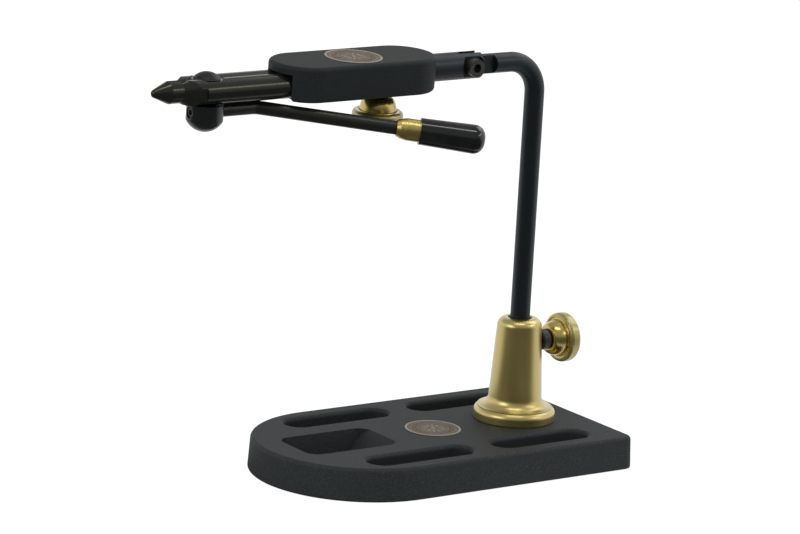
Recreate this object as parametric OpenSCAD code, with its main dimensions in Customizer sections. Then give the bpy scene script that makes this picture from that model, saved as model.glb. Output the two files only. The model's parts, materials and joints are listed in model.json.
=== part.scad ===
// Fly tying vise: a tray base, a pedestal with a bent stem, and a rotary head with cam-opened jaws.
// Millimetres. The origin is on the axis of the stem, where the base stands. +Z is up, the jaws point along -X.

/* [Base] */
// Width of the base across its straight sides
base_w = 103; // [94:1:124]
// Distance from the stem's axis to the round front of the base
base_front = 142; // [134:1:170]
// Distance from the stem's axis to the straight rear edge
base_rear = 34.4; // [30:0.1:50]
// Height of the base's top face above the table
base_h = 16.4; // [15:0.1:20]
// Slope of the cast side walls, in degrees
base_draft = 3; // [0:0.1:4]
// Radius of the base's upper edge
base_edge_r = 2; // [0.8:0.1:2.5]
// Radius of the base's lower edge
base_foot_r = 1; // [0.5:0.1:2]
// Radius of the two rear corners in plan
base_corner_r = 5; // [3.5:0.5:10]

/* [Trays] */
// Straight length of the two front troughs
front_trough_len = 43; // [30:1:46]
// Centre of the front troughs, ahead of the stem's axis
front_trough_x = 80; // [76:1:84]
// Straight length of the two rear troughs
rear_trough_len = 39; // [25:1:40]
// Centre of the rear troughs, ahead of the stem's axis
rear_trough_x = 10.5; // [8:0.5:14]
// Distance of each trough's centre line from the middle of the base
trough_y = 35; // [34:0.5:36]
// Width of a trough's straight wall
trough_w = 14.6; // [10:0.1:16]
// Depth of the troughs
trough_depth = 8; // [6:0.5:10]
// Radius of a trough's soft rim
trough_rim_r = 2; // [0.8:0.1:2.5]
// Radius between a trough's wall and floor
trough_floor_r = 3; // [1:0.5:4]
// Length of the middle tray
tray_len = 50; // [40:1:52]
// Width of the middle tray
tray_w = 30.6; // [24:0.2:36]
// Depth of the middle tray
tray_depth = 9.6; // [6:0.2:11]
// Centre of the middle tray, ahead of the stem's axis
tray_x = 102.4; // [101:0.1:104]
// Slope of the tray's finger ramp, in degrees from the floor
tray_ramp = 48; // [40:1:75]
// Lean of the tray's other walls, in degrees from upright
tray_lean = 12; // [2:1:20]
// Corner radius of the tray in plan
tray_corner_r = 6.5; // [2:0.5:9]

/* [Base pad and medallions] */
// Thickness of the rubber pad under the base
pad_t = 1.5; // [1:0.1:2.5]
// How far the pad stands below the base
pad_proud = 0.5; // [0.3:0.1:0.8]
// Distance from the base's side to the edge of the pad
pad_inset = 5; // [3:0.5:10]
// Diameter of both medallions
medal_d = 27; // [20:0.5:28]
// Thickness of the medallions
medal_t = 1.2; // [0.8:0.1:1.6]
// How far a medallion's rim stands above its surface
medal_proud = 0.25; // [0.1:0.05:0.4]
// Width of a medallion's raised rim
medal_rim = 1.1; // [0.8:0.1:2]
// Centre of the base's medallion, ahead of the stem's axis
base_medal_x = 48; // [44:0.5:52]

/* [Pedestal] */
// Diameter of the pedestal's foot ring
foot_d = 39.6; // [36:0.2:46]
// Height of the foot ring
foot_ring_h = 6.4; // [5:0.1:8]
// Radius of the foot ring's upper edge
foot_ring_r = 3.2; // [1:0.1:4]
// Radius of the cove between the foot ring and the cone
cove_r = 5.2; // [3:0.1:5.5]
// Diameter of the cone where it meets the cove
cone_low_d = 25.8; // [24:0.2:28]
// Diameter of the cone under its shoulder
cone_top_d = 21.6; // [19:0.2:23]
// Height of the pedestal above the base
pedestal_h = 50.2; // [46:0.2:60]
// Radius of the pedestal's shoulder
shoulder_r = 3.9; // [2:0.1:4]
// Thickness of metal between the stem's bore and the bolt's hole
bore_floor_t = 2; // [1:0.5:4]

/* [Stem] */
// Diameter of the stem rod
stem_d = 9.53; // [8:0.01:10]
// Height of the stem's upper leg above the table
stem_top = 192.6; // [170:0.1:240]
// Centre-line radius of the stem's bend
stem_bend_r = 15.5; // [12:0.5:20]
// Distance from the stem's axis to the knuckle pin
knuckle_x = 41; // [38:0.5:50]
// Clear depth under the stem's lower end
stem_clear = 6; // [3:0.5:8]
// Thickness of the tongue that the head's fork grips
tongue_t = 4.2; // [3:0.1:5]
// Radius around the knuckle pin where the tongue begins
tongue_r = 15; // [12:0.5:17]
// Wall of the nylon bush in the pedestal's mouth
bush_wall = 1; // [0.8:0.1:1.1]
// Length of the nylon bush
bush_len = 7; // [5:0.5:9]

/* [Clamp screws and knobs] */
// Height of the clamp screw's axis above the base
clamp_up = 37.6; // [32:0.2:42]
// Diameter of the stem clamp's screw
clamp_screw_d = 6; // [5:0.5:7]
// Diameter of the black collar on a screw
collar_d = 10; // [9:0.2:12]
// Length of the clamp screw's collar
clamp_collar_len = 5; // [4:0.2:8]
// Distance from the stem's axis to the clamp screw's collar
clamp_collar_x = 12.1; // [11.8:0.1:16]
// Diameter of a knob's rim
knob_d = 24; // [20:0.5:26]
// Length of a knob's bell-shaped hub
knob_hub_len = 6.4; // [4:0.2:8]
// Thickness of a knob's rim
knob_rim_t = 6; // [4:0.2:7]
// Diameter of the hub where it meets the dished rim
knob_hub_d = 17.4; // [16:0.2:18]
// Diameter of the rotation lock's screw
lock_screw_d = 5; // [4:0.5:5.5]
// Length of the rotation lock's collar
lock_collar_len = 2.9; // [2:0.1:4]

/* [Head] */
// Nose-down tilt of the head at rest, in degrees
head_tilt = 0.2; // [-10:0.1:10]
// Roll of the head at rest, in degrees
head_roll = 2.5; // [-10:0.5:10]
// Diameter of the head shaft
shaft_d = 13.1; // [11.6:0.1:13.2]
// Diameter of the shaft's spigot inside the housing
spigot_d = 9.5; // [8.5:0.1:9.8]
// Length of the fork's ears past the knuckle pin
ear_len = 6; // [5:0.5:8]
// Radius of the pocket for the knuckle screw's head
spotface_r = 6.4; // [5.5:0.1:8]
// Depth of that pocket below the shaft's side
spotface_depth = 2.2; // [1:0.05:2.3]
// Distance from the knuckle pin to the housing
housing_back = 21.6; // [20:0.2:30]
// Length of the housing
housing_len = 86.4; // [84:0.2:100]
// Width of the housing
housing_w = 34; // [33:0.5:40]
// Height of the housing
housing_h = 16.5; // [16.1:0.1:18]
// Height of the housing's top above the shaft's axis
housing_up = 8.3; // [8.2:0.1:9.3]
// Radius of the housing's upper edge
housing_edge_r = 2; // [0.8:0.1:2.4]
// Radius of the housing's lower edge
housing_foot_r = 1.8; // [0.5:0.1:1.8]
// Thickness of the plate that closes the housing underneath
cover_t = 1.5; // [1.2:0.1:1.6]
// Distance from the housing's front to the front of that plate
cover_front_in = 6.5; // [5:0.1:12]
// Distance from the front of the housing's bearing block back to the rotation lock
lock_in = 10.7; // [8:0.1:12]

/* [Jaws] */
// Depth of the jaws' line below the shaft's axis
jaw_down = 1.95; // [1.6:0.05:2.1]
// Diameter of each jaw rod
jaw_d = 11.7; // [10.8:0.1:11.8]
// Length of the jaws ahead of the housing
jaw_reach = 64.7; // [58:0.1:80]
// Distance of each pivot pin from the middle
jaw_pin_y = 3.85; // [3.8:0.05:4.2]
// Distance from the housing's front to the pivot pins
jaw_pin_in = 23.6; // [20:0.2:26]
// Diameter of the pivot pins
jaw_pin_d = 4; // [3:0.1:4.5]
// Length of the jaw tails behind the pins
jaw_tail = 24; // [22:0.5:26]
// Gap between the closed jaws
jaw_gap = 0.2; // [0.2:0.05:0.4]
// Gap between the jaws' tails, behind their pins
tail_gap = 1.6; // [1.4:0.1:2]
// Radius of the jaws' rounded tip
tip_ball_r = 2.1; // [1.5:0.1:2.4]
// Radius of the jaws' neck
neck_r = 5.2; // [4:0.1:5.4]
// Length of the pointed tip
tip_len = 8.5; // [7:0.1:12]
// Distance from the tip to the end of the neck
neck_end = 14.3; // [12:0.1:17]
// Distance from the tip to the end of the flared part
flare_end = 26.4; // [24:0.1:30]
// Distance from the tip to the end of the flats beside the cam
jaw_flat_end = 24.3; // [22:0.1:26]
// Depth of those flats
jaw_flat_depth = 0.7; // [0.3:0.1:0.9]
// Diameter of the spring between the jaw tails
spring_d = 5.8; // [4.5:0.1:6.2]
// Wire of that spring
spring_wire = 1; // [0.6:0.1:1.2]
// Turns of that spring
spring_turns = 5; // [3:1:5]
// Distance from the pivot pins back to the spring
spring_back = 19; // [16:0.5:20]

/* [Cam lever] */
// Distance from the jaws' tip to the cam's axis
cam_back = 28.9; // [28:0.1:32]
// Diameter of the cam shank
cam_d = 10; // [8:0.1:10]
// Distance across the cam's flats
cam_flats = 5.1; // [4.5:0.1:5.5]
// Diameter of the domed head over the jaws
dome_d = 12.7; // [11:0.1:14]
// Height of that dome
dome_h = 3; // [2.5:0.1:5]
// Diameter of the lever's hub
hub_d = 17; // [15:0.2:20]
// Height of the hub's straight side
hub_h = 7.7; // [6.8:0.1:9]
// Height of the hub's rounded end
hub_dome_h = 5.3; // [3:0.1:6]
// Depth of the lever's axis below the hub's top
lever_down = 3.7; // [3.3:0.1:3.8]
// Diameter of the lever rod
lever_d = 6.35; // [5:0.05:6.4]
// Distance from the cam's axis to the lever's bend
lever_bend_at = 27; // [20:0.5:32]
// Centre-line radius of the lever's bend
lever_bend_r = 8; // [5:0.5:12]
// Outward angle of the lever past its bend, in degrees
lever_splay = 30; // [26:1:40]
// Downward angle of the lever past its bend, in degrees
lever_drop = 5.3; // [4:0.1:8]
// Distance from the bend to the brass ferrule
ferrule_at = 65; // [50:0.1:75]
// Length of the ferrule that shows
ferrule_len = 10.7; // [8:0.1:16]
// Diameter of the ferrule
ferrule_d = 10.3; // [8:0.1:11]
// Diameter of the ferrule's narrow end
ferrule_nose_d = 7.5; // [6.9:0.1:7.8]
// Length of the grip
grip_len = 30.3; // [24:0.1:45]
// Diameter of the grip beside the ferrule
grip_near_d = 12.3; // [11.2:0.1:13]
// Diameter of the grip at its end
grip_far_d = 13.5; // [11.2:0.1:14]
// Radius of the grip's rounded end
grip_nose_r = 5.2; // [2:0.1:5.6]

/* [Hidden] */
$fn = 72;
// Flats that each rounded edge is made of
round_steps = 10;

// Overrun of every cut, and the clearances between pieces
cut = 1;
run_gap = 0.05;
thread_gap = 0.1;
free_gap = 0.3;
seat_gap = 0.2;

// Plan of the base
front_cx = -(base_front - base_w / 2);
rear_cx = base_rear - base_corner_r;
plate_low = pad_proud;

// Bolt that holds the pedestal on the base
bolt_d = 8;
bolt_head_d = 13;
bolt_head_h = 7.5;
bolt_hex = 6;
bolt_hex_depth = 4;
bolt_pad_gap = 2;
bolt_seat = pad_t + bolt_pad_gap + bolt_head_h;
bolt_grip = 10.5;

// Heights in the pedestal, and the radius under its foot
foot_low_r = 0.5;
bolt_end = base_h + bolt_grip;
bore_floor = bolt_end + cut + bore_floor_t;
pedestal_top = base_h + pedestal_h;
stem_low = bore_floor + stem_clear;
bush_r = stem_d / 2 + run_gap + bush_wall;
clamp_z = base_h + clamp_up;

// Parts of both clamp screws
clamp_tip_step = 1.4;
clamp_tip_d = clamp_screw_d - clamp_tip_step;
clamp_tip_len = 2;
clamp_tip_x = stem_d / 2 + free_gap;
clamp_knob_x = clamp_collar_x + clamp_collar_len;
knob_len = knob_hub_len + knob_rim_t;
knob_edge_r = 1.8;
knob_dish = 0.6;
knob_lip = 1.7;
knob_mouth_step = 0.4;
knob_mouth_d = collar_d + knob_mouth_step;
collar_edge_r = 1;
stub_share = 0.75;

// Distances ahead of the knuckle pin, along the head
housing_front_s = housing_back + housing_len;
tip_s = housing_front_s + jaw_reach;
cam_s = tip_s - cam_back;
pin_s = housing_front_s - jaw_pin_in;
tail_s = pin_s - jaw_tail;
spring_s = pin_s - spring_back;
block_gap = 0.9;
block_s = tail_s - block_gap;
lock_s = block_s - lock_in;
housing_mid_s = housing_back + housing_len / 2;

// Heights in the head, from the shaft's axis
housing_low = housing_up - housing_h;
channel_gap = 0.35;
channel_front_gap = 0.6;
channel_top = jaw_d / 2 + channel_gap - jaw_down;
cover_top = housing_low + cover_t;

// Channel for the jaws' tails, its cover and the cover's screws
cover_inset = 1.2;
cover_screw_d = 1.6;
cover_screw_head_d = 2.6;
cover_screw_len = 6;
cover_screw_hex = 0.9;
cover_screw_hex_depth = 0.5;
cover_screw_in = 9;
channel_half = jaw_pin_y + jaw_d / 2 + channel_gap;
cover_screw_y = (channel_half + housing_w / 2 - cover_inset - seat_gap) / 2;
cover_screw_s = [block_s + cover_screw_in, housing_front_s - housing_w / 2];

// Tongue, fork, shaft and bush
tongue_relief = 0.5;
fork_w = tongue_t + 4 * run_gap;
fork_floor_gap = 1.2;
fork_floor = stem_d / 2 + fork_floor_gap;
knuckle_d = 5;
knuckle_head_d = 8.4;
knuckle_head_h = 4.6;
knuckle_hex = 4;
knuckle_hex_depth = 2.5;
knuckle_end_in = 1;
flange_seat_in = 1.2;
flange_t = 0.8;
flange_step = 0.6;
flange_d = shaft_d + flange_step;
shaft_bush_wall = 1.6;
shaft_bush_r = spigot_d / 2 + run_gap + shaft_bush_wall;
flange_s = housing_back + flange_seat_in;
lock_wall = 5.3;
shaft_bush_len = lock_s - lock_screw_d / 2 - lock_wall - flange_s;
shoulder_s = flange_s - flange_t - free_gap;
spigot_end_s = block_s - free_gap;
groove_depth = 1.2;
groove_play = 0.4;
groove_w = lock_screw_d + groove_play;
lock_tip_top = -(spigot_d / 2 - groove_depth + free_gap);
lock_tip_step = 0.6;
lock_tip_d = lock_screw_d - lock_tip_step;
lock_tip_len = 1.5;
lock_collar_gap = 0.6;
lock_collar_top = housing_low - lock_collar_gap;
lock_knob_top = lock_collar_top - lock_collar_len;

// Jaws, their pins and spring
tip_slope = atan2(neck_r, tip_len);
jaw_flat_y = jaw_pin_y + jaw_d / 2 - jaw_flat_depth;
under_front_s = housing_front_s - cover_front_in + 2 * free_gap;
under_z = cover_top + channel_gap + jaw_down;
pin_sink = 2;
pin_foot = 0.8;
spring_pocket_d = spring_d + 2 * free_gap;
spring_pocket = 4.2;
spring_gap = 0.35;
spring_len = tail_gap + 2 * (spring_pocket - spring_gap);

// Cam, hub and lever
cam_slot = cam_flats / 2 + run_gap;
dome_flat = 0.75;
dome_flat_margin = 1;
dome_seat = jaw_d / 2 - dome_flat;
hub_gap = 0.45;
hub_top = -(jaw_d / 2 + hub_gap);
hub_pin_d = 6;
hub_pin_len = 6;
lever_z = hub_top - lever_down;
set_screw_d = 5;
set_screw_len = 4.2;
set_screw_hex = 2.5;
set_screw_in = 0.8;
lever_turn = acos(cos(lever_splay) * cos(lever_drop));
lever_lean = atan2(sin(lever_drop), sin(lever_splay) * cos(lever_drop));
lever_tangent = lever_bend_r * tan(lever_turn / 2);
ferrule_taper_share = 0.42;
ferrule_swell_share = 0.16;
ferrule_swell_d_share = 0.55;
grip_at = ferrule_at + ferrule_len;
lever_in_grip_share = 0.7;
ferrule_sunk = 3;
ferrule_tail_d = 8.6;

// Colours
coat = [0.17, 0.18, 0.18];
black = [0.10, 0.10, 0.11];
gold = [0.72, 0.65, 0.45];
brass = [0.80, 0.70, 0.35];
bronze = [0.42, 0.36, 0.28];

// Points along an arc about a centre, from one angle to another
function arc(cx, cy, r, from, to) =
    [for (i = [0:round_steps])
        let (a = from + (to - from) * i / round_steps) [cx + r * cos(a), cy + r * sin(a)]];

// One side of a block's section: a leaning wall of radius r with rounded edges, between two heights
module edge_section(r, low, high, draft, top_r, low_r) {
    wall_top = r + top_r * tan(draft) - top_r / cos(draft);
    wall_low = r + (high - low - low_r) * tan(draft) - low_r / cos(draft);
    polygon(concat([[0, low]], arc(wall_low, low + low_r, low_r, -90, draft),
        arc(wall_top, high - top_r, top_r, draft, 90), [[0, high]]));
}

// A section swept straight along X from one place to another, with its mirror image
module straight_run(from, to) {
    translate([from, 0, 0]) rotate([90, 0, 90]) linear_extrude(to - from) {
        children();
        mirror([1, 0]) children();
    }
}

// A section swept round a straight-sided, round-ended plan of the given straight length
module round_ended(len) {
    for (turn = [0, 180])
        rotate(turn) translate([len / 2, 0, 0]) rotate(-90) rotate_extrude(angle = 180) children();
    straight_run(-len / 2, len / 2) children();
}

// Section of a trough: round floor corners and a soft rim that flares out to the top face
module trough_section() {
    wall = trough_w / 2;
    floor_z = base_h - trough_depth;
    translate([0, floor_z + trough_floor_r]) square([wall, trough_depth - trough_floor_r + cut]);
    translate([0, floor_z]) square([wall - trough_floor_r, trough_depth]);
    translate([wall - trough_floor_r, floor_z + trough_floor_r]) circle(trough_floor_r);
    difference() {
        translate([0, base_h - trough_rim_r]) square([wall + trough_rim_r, trough_rim_r + cut]);
        translate([wall + trough_rim_r, base_h - trough_rim_r]) circle(trough_rim_r);
    }
}

module troughs() {
    for (side = [-1, 1]) {
        translate([-front_trough_x, side * trough_y, 0]) round_ended(front_trough_len) trough_section();
        translate([-rear_trough_x, side * trough_y, 0]) round_ended(rear_trough_len) trough_section();
    }
}

// A rectangle with round corners, centred
module rounded_rect(len, w, r) {
    square([len - 2 * r, w], center = true);
    square([len, w - 2 * r], center = true);
    for (x = [-1, 1], y = [-1, 1]) translate([x * (len / 2 - r), y * (w / 2 - r)]) circle(r);
}

// The middle tray: leaning walls, and a finger ramp at its rear end
module tray_hollow() {
    lean = tray_depth * tan(tray_lean);
    ramp = tray_depth / tan(tray_ramp);
    over = cut * tan(tray_lean);
    over_ramp = cut / tan(tray_ramp);
    translate([-tray_x, 0, base_h]) intersection() {
        translate([0, 0, -tray_depth])
            linear_extrude(tray_depth + cut) rounded_rect(tray_len, tray_w, tray_corner_r);
        rotate([90, 0, 0]) linear_extrude(tray_w, center = true)
            polygon([[-tray_len / 2 + lean, -tray_depth], [tray_len / 2 - ramp, -tray_depth],
                [tray_len / 2 + over_ramp, cut], [-tray_len / 2 - over, cut]]);
        rotate([90, 0, 90]) linear_extrude(tray_len, center = true)
            polygon([[-tray_w / 2 + lean, -tray_depth], [tray_w / 2 - lean, -tray_depth],
                [tray_w / 2 + over, cut], [-tray_w / 2 - over, cut]]);
    }
}

// The base's plan, drawn in by an inset
module base_plan(inset) {
    r = base_w / 2 - inset;
    translate([front_cx, 0]) circle(r);
    translate([front_cx, -r]) square([base_rear - inset - front_cx, 2 * r]);
}

module base_block() {
    side = base_w / 2;
    mid = side - base_corner_r;
    translate([front_cx, 0, 0]) rotate(90) rotate_extrude(angle = 180)
        edge_section(side, plate_low, base_h, base_draft, base_edge_r, base_foot_r);
    straight_run(front_cx, rear_cx)
        edge_section(side, plate_low, base_h, base_draft, base_edge_r, base_foot_r);
    for (turn = [[-1, -90], [1, 0]])
        translate([rear_cx, turn[0] * mid, 0]) rotate(turn[1]) rotate_extrude(angle = 90)
            edge_section(base_corner_r, plate_low, base_h, base_draft, base_edge_r, base_foot_r);
    translate([rear_cx, 0, 0]) rotate([90, 0, 0]) linear_extrude(2 * mid, center = true)
        edge_section(base_corner_r, plate_low, base_h, base_draft, base_edge_r, base_foot_r);
}

module base_plate() {
    color(coat) difference() {
        base_block();
        translate([0, 0, -cut]) linear_extrude(pad_t + cut) base_plan(pad_inset - seat_gap);
        troughs();
        tray_hollow();
        translate([-base_medal_x, 0, base_h - medal_t + medal_proud])
            cylinder(h = medal_t + cut, d = medal_d + 2 * run_gap);
        cylinder(h = base_h + cut, d = bolt_d + 2 * thread_gap);
        cylinder(h = bolt_seat, d = bolt_head_d + 4 * free_gap);
    }
}

module base_pad() {
    color(black) linear_extrude(pad_t) base_plan(pad_inset);
}

// A round plate with a raised rim, its top at z = 0 when the rim is left out
module medallion() {
    field = medal_t - medal_proud;
    translate([0, 0, -field]) difference() {
        cylinder(h = medal_t, d = medal_d);
        translate([0, 0, field]) cylinder(h = medal_t, d = medal_d - 2 * medal_rim);
    }
}

module base_medallion() {
    color(bronze) translate([-base_medal_x, 0, base_h]) medallion();
}

module pedestal() {
    ring_top = base_h + foot_ring_h;
    cove_top = ring_top + cove_r;
    color(gold) difference() {
        rotate_extrude() {
            edge_section(foot_d / 2, base_h, ring_top, 0, foot_ring_r, foot_low_r);
            difference() {
                translate([0, base_h]) square([cone_low_d / 2 + cove_r, foot_ring_h + cove_r]);
                translate([cone_low_d / 2 + cove_r, cove_top]) circle(cove_r);
            }
            translate([cone_top_d / 2 - shoulder_r, pedestal_top - shoulder_r]) circle(shoulder_r);
            polygon([[0, base_h], [cone_low_d / 2, base_h], [cone_low_d / 2, cove_top],
                [cone_top_d / 2, pedestal_top - shoulder_r],
                [cone_top_d / 2 - shoulder_r, pedestal_top], [0, pedestal_top]]);
        }
        translate([0, 0, bore_floor]) cylinder(h = pedestal_h, d = stem_d + 2 * free_gap);
        translate([0, 0, pedestal_top - bush_len]) cylinder(h = pedestal_h, r = bush_r + run_gap);
        translate([0, 0, base_h - cut]) cylinder(h = bolt_grip + 2 * cut, d = bolt_d + 2 * thread_gap);
        translate([0, 0, clamp_z]) rotate([0, 90, 0])
            cylinder(h = foot_d, d = clamp_screw_d + 2 * thread_gap);
    }
}

// A socket-head screw hanging from z = 0: its head above, its shank below
module socket_screw(shank_d, shank_len, head_d, head_h, hex, hex_depth) {
    difference() {
        union() {
            translate([0, 0, -shank_len]) cylinder(h = shank_len + head_h / 2, d = shank_d);
            cylinder(h = head_h, d = head_d);
        }
        translate([0, 0, head_h - hex_depth]) cylinder(h = hex_depth + cut, r = hex / sqrt(3), $fn = 6);
    }
}

module pedestal_bolt() {
    color(black) translate([0, 0, bolt_seat]) rotate([180, 0, 0])
        socket_screw(bolt_d, bolt_end - bolt_seat, bolt_head_d, bolt_head_h, bolt_hex, bolt_hex_depth);
}

module stem_bush() {
    color(black) translate([0, 0, pedestal_top - bush_len]) difference() {
        cylinder(h = bush_len, r = bush_r);
        translate([0, 0, -cut]) cylinder(h = bush_len + 2 * cut, d = stem_d + 2 * run_gap);
    }
}

// The bent rod, with a flat tongue round the knuckle pin
module stem() {
    rod_r = stem_d / 2;
    end_r = rod_r - tongue_relief;
    color(black) difference() {
        union() {
            translate([0, 0, stem_low]) cylinder(h = stem_top - stem_bend_r - stem_low, d = stem_d);
            translate([-stem_bend_r, 0, stem_top - stem_bend_r]) rotate([90, 0, 0])
                rotate_extrude(angle = 90) translate([stem_bend_r, 0]) circle(d = stem_d);
            translate([-knuckle_x, 0, stem_top]) rotate([0, 90, 0])
                cylinder(h = knuckle_x - stem_bend_r, d = stem_d);
            translate([-knuckle_x, 0, stem_top]) rotate([90, 0, 0])
                cylinder(h = tongue_t, r = end_r, center = true);
            translate([-knuckle_x, -tongue_t / 2, stem_top - end_r]) cube([tongue_r, tongue_t, 2 * end_r]);
        }
        for (side = [-1, 1])
            translate([-knuckle_x, side * (tongue_t / 2 + rod_r), stem_top]) rotate([90, 0, 0])
                cylinder(h = 2 * rod_r, r = tongue_r, center = true);
        translate([-knuckle_x, 0, stem_top]) rotate([90, 0, 0])
            cylinder(h = stem_d, d = knuckle_d + 2 * run_gap, center = true);
    }
}

module along_clamp(x) {
    translate([x, 0, clamp_z]) rotate([0, 90, 0]) children();
}

module stem_clamp_tip() {
    color(gold) along_clamp(clamp_tip_x) cylinder(h = clamp_tip_len, d = clamp_tip_d);
}

// A black collar with soft edges, standing on z = 0
module collar(len) {
    rotate_extrude() edge_section(collar_d / 2, 0, len, 0, collar_edge_r, collar_edge_r);
}

module stem_clamp_screw() {
    shank = clamp_knob_x + stub_share * knob_len - clamp_tip_x - clamp_tip_len;
    color(black) {
        along_clamp(clamp_tip_x + clamp_tip_len) cylinder(h = shank, d = clamp_screw_d);
        along_clamp(clamp_collar_x) collar(clamp_collar_len);
    }
}

// A brass thumb knob along +Z from its mouth: a bell-shaped hub, and a dished rim
module knob(screw_d) {
    rim_r = knob_d / 2;
    hub_r = knob_hub_d / 2;
    mouth_r = knob_mouth_d / 2;
    bulge = hub_r - mouth_r;
    color(brass) difference() {
        rotate_extrude() {
            square([mouth_r, knob_hub_len]);
            intersection() {
                translate([mouth_r, knob_hub_len]) scale([1, knob_hub_len / bulge]) circle(bulge);
                square([hub_r, knob_hub_len]);
            }
            difference() {
                translate([0, -rim_r]) edge_section(rim_r, rim_r + knob_hub_len, rim_r + knob_len,
                    0, knob_edge_r, knob_edge_r);
                translate([(hub_r + rim_r - knob_lip) / 2, knob_hub_len])
                    scale([(rim_r - knob_lip - hub_r) / 2, knob_dish]) circle(1);
            }
        }
        translate([0, 0, -cut]) cylinder(h = stub_share * knob_len + 2 * cut, d = screw_d + 2 * thread_gap);
    }
}

module stem_clamp_knob() {
    along_clamp(clamp_knob_x) knob(clamp_screw_d);
}

// The fork's frame: its origin at the knuckle pin, and its shaft along X
module fork_frame() {
    translate([-knuckle_x, 0, stem_top]) rotate([0, -head_tilt, 0]) children();
}

// The housing's frame, rolled about the shaft
module head() {
    fork_frame() rotate([head_roll, 0, 0]) children();
}

// A place on the head, a distance s ahead of the knuckle pin, turned so that +Z points back along the shaft
module along_shaft(s) {
    translate([-s, 0, 0]) rotate([0, 90, 0]) children();
}

module head_shaft() {
    color(black) fork_frame() difference() {
        union() {
            along_shaft(shoulder_s) cylinder(h = shoulder_s + ear_len, d = shaft_d);
            along_shaft(spigot_end_s) cylinder(h = spigot_end_s - shoulder_s + cut, d = spigot_d);
        }
        translate([-fork_floor, -fork_w / 2, -shaft_d])
            cube([fork_floor + ear_len + cut, fork_w, 2 * shaft_d]);
        translate([0, -(shaft_d - spotface_depth), 0]) rotate([90, 0, 0])
            cylinder(h = shaft_d, r = spotface_r, center = true);
        rotate([90, 0, 0]) cylinder(h = shaft_d + cut, d = knuckle_d + 2 * run_gap, center = true);
        along_shaft(lock_s + groove_w / 2) difference() {
            cylinder(h = groove_w, d = spigot_d + cut);
            cylinder(h = groove_w, d = spigot_d - 2 * groove_depth);
        }
    }
}

module knuckle_screw() {
    seat = shaft_d / 2 - spotface_depth;
    color(black) fork_frame() translate([0, -seat, 0]) rotate([90, 0, 0])
        socket_screw(knuckle_d, seat + shaft_d / 2 - knuckle_end_in, knuckle_head_d, knuckle_head_h,
            knuckle_hex, knuckle_hex_depth);
}

module shaft_bush() {
    color(brass) head() difference() {
        union() {
            along_shaft(flange_s) cylinder(h = flange_t, d = flange_d);
            along_shaft(flange_s + shaft_bush_len) cylinder(h = shaft_bush_len, r = shaft_bush_r);
        }
        along_shaft(flange_s + shaft_bush_len + cut)
            cylinder(h = shaft_bush_len + 2 * cut + flange_t, d = spigot_d + 2 * run_gap);
    }
}

// Plan of the hollow under the housing's top plate, wider at the jaws' tails
module channel_plan() {
    front_half = jaw_pin_y + jaw_d / 2 + channel_front_gap;
    front = -(housing_front_s + cut);
    polygon([[front, -front_half], [-block_s, -channel_half], [-block_s, channel_half],
        [front, front_half]]);
}

module at_cover_screws() {
    for (s = cover_screw_s, side = [-1, 1])
        translate([-s, side * cover_screw_y, housing_low]) children();
}

module cover_plan(inset) {
    gap = inset - cover_inset;
    front = housing_front_s - cover_front_in - gap;
    intersection() {
        translate([-housing_mid_s, 0]) rounded_rect(housing_len - 2 * inset, housing_w - 2 * inset,
            housing_w / 2 - inset - run_gap);
        translate([-front, -housing_w / 2]) square([front - block_s + 3 * cover_inset - gap, housing_w]);
    }
}

module head_housing() {
    color(coat) head() difference() {
        translate([-housing_mid_s, 0, 0]) round_ended(housing_len - housing_w)
            edge_section(housing_w / 2, housing_low, housing_up, 0, housing_edge_r, housing_foot_r);
        translate([0, 0, housing_low - cut]) linear_extrude(channel_top - housing_low + cut) channel_plan();
        translate([0, 0, housing_low - cut]) linear_extrude(cover_t + cut) cover_plan(cover_inset);
        at_cover_screws() cylinder(h = cover_screw_len, d = cover_screw_d + 2 * thread_gap);
        for (side = [-1, 1]) translate([-pin_s, side * jaw_pin_y, 0])
            cylinder(h = channel_top + pin_sink, d = jaw_pin_d + 2 * run_gap);
        translate([-housing_mid_s, 0, housing_up - medal_t + medal_proud])
            cylinder(h = medal_t + cut, d = medal_d + 2 * run_gap);
        along_shaft(block_s + cut) cylinder(h = block_s, d = spigot_d + 2 * run_gap);
        along_shaft(flange_s + shaft_bush_len)
            cylinder(h = shaft_bush_len + cut, r = shaft_bush_r + run_gap);
        along_shaft(flange_s)
            cylinder(h = flange_seat_in + cut, d = flange_d + 2 * free_gap);
        translate([-lock_s, 0, housing_low - cut])
            cylinder(h = -housing_low, d = lock_screw_d + 2 * thread_gap);
    }
}

module head_medallion() {
    color(bronze) head() translate([-housing_mid_s, 0, housing_up]) medallion();
}

module housing_cover() {
    color(coat) head() difference() {
        translate([0, 0, housing_low]) linear_extrude(cover_t) cover_plan(cover_inset + seat_gap);
        at_cover_screws() cover_screw_shape(thread_gap);
        for (side = [-1, 1]) translate([-pin_s, side * jaw_pin_y, cover_top - pin_foot])
            cylinder(h = pin_foot + cut, d = jaw_pin_d + 2 * run_gap);
    }
}

// A countersunk screw going up from its head's face, grown by a clearance all round
module cover_screw_shape(gap) {
    cone_h = (cover_screw_head_d - cover_screw_d) / 2;
    cylinder(h = cone_h, d1 = cover_screw_head_d + 2 * gap, d2 = cover_screw_d + 2 * gap);
    cylinder(h = cover_screw_len - thread_gap, d = cover_screw_d + 2 * gap);
}

module cover_screws() {
    color(black) head() at_cover_screws() difference() {
        cover_screw_shape(0);
        translate([0, 0, -cut])
            cylinder(h = cut + cover_screw_hex_depth, r = cover_screw_hex / sqrt(3), $fn = 6);
    }
}

module rotation_lock_tip() {
    color(gold) head() translate([-lock_s, 0, lock_tip_top - lock_tip_len])
        cylinder(h = lock_tip_len, d = lock_tip_d);
}

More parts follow.
